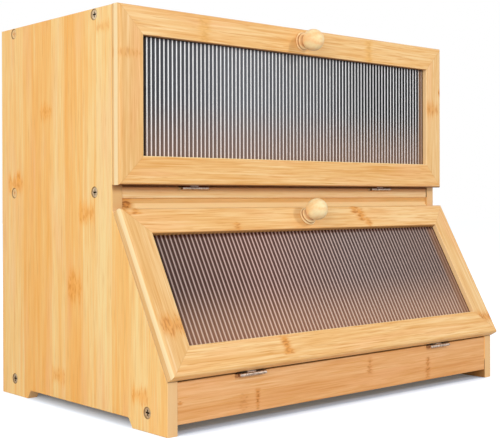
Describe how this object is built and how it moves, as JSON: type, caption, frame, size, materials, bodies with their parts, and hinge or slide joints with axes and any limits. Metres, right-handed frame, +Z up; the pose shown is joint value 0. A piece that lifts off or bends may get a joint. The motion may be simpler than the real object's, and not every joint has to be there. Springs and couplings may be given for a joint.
{
  "type": "bread box",
  "caption": "Two-tier bamboo bread box: an upright upper door and a slanted lower door, each a mitred frame with a fluted clear pane and round knob, fold down on butt hinges.",
  "frame": {"origin": "on the floor, under the middle of the bounding box (the front limit is the lower door's bottom edge)", "axes": "+X to the right along the width, the doors face -Y, +Z up"},
  "size_m": [0.4, 0.2608, 0.332],
  "materials": {
    "bamboo_board": "laminated bamboo, clear satin lacquer",
    "bamboo_frame": "laminated bamboo, clear satin lacquer, rounded edges",
    "knob_beech": "turned pale wood, sanded and clear lacquered",
    "dowel_beech": "bare beech dowel",
    "clear_acrylic": "clear reeded acrylic, polished",
    "zinc_steel": "bright zinc-plated steel",
    "nickel_magnet": "nickel-plated disc"
  },
  "bodies": {
    "carcass": {"back_panel": "bamboo_board", "back_screws": "zinc_steel", "bottom_panel": "bamboo_board", "front_board": "bamboo_board", "front_board_dowels": "dowel_beech", "lower_catch_magnets": "nickel_magnet", "lower_hinge_fixed_leaves": "zinc_steel", "lower_hinge_fixed_screws": "zinc_steel", "lower_hinge_pins": "zinc_steel", "middle_shelf": "bamboo_board", "side_panel_left": "bamboo_board", "side_panel_right": "bamboo_board", "side_screws_left": "zinc_steel", "side_screws_right": "zinc_steel", "stop_rail": "bamboo_board", "stop_rail_dowels": "dowel_beech", "top_panel": "bamboo_board", "upper_catch_magnets": "nickel_magnet", "upper_hinge_fixed_leaves": "zinc_steel", "upper_hinge_fixed_screws": "zinc_steel", "upper_hinge_pins": "zinc_steel"},
    "upper_door": {"upper_door_bottom_rail": "bamboo_frame", "upper_door_knob": "knob_beech", "upper_door_knob_screw": "zinc_steel", "upper_door_left_stile": "bamboo_frame", "upper_door_right_stile": "bamboo_frame", "upper_door_strike_magnets": "nickel_magnet", "upper_door_top_rail": "bamboo_frame", "upper_door_window": "clear_acrylic", "upper_hinge_door_leaves": "zinc_steel", "upper_hinge_door_screws": "zinc_steel"},
    "lower_door": {"lower_door_bottom_rail": "bamboo_frame", "lower_door_knob": "knob_beech", "lower_door_knob_screw": "zinc_steel", "lower_door_left_stile": "bamboo_frame", "lower_door_right_stile": "bamboo_frame", "lower_door_strike_magnets": "nickel_magnet", "lower_door_top_rail": "bamboo_frame", "lower_door_window": "clear_acrylic", "lower_hinge_door_leaves": "zinc_steel", "lower_hinge_door_screws": "zinc_steel"}
  },
  "joints": [
    {"name": "upper_door_hinge", "type": "hinge", "parent": "carcass", "child": "upper_door", "pos_m": [0, -0.05153, 0.1865], "axis": [1, 0, 0], "range_deg": [0, 87]},
    {"name": "lower_door_hinge", "type": "hinge", "parent": "carcass", "child": "lower_door", "pos_m": [0, -0.12451, 0.039], "axis": [1, 0, 0], "range_deg": [0, 120]}
  ]
}
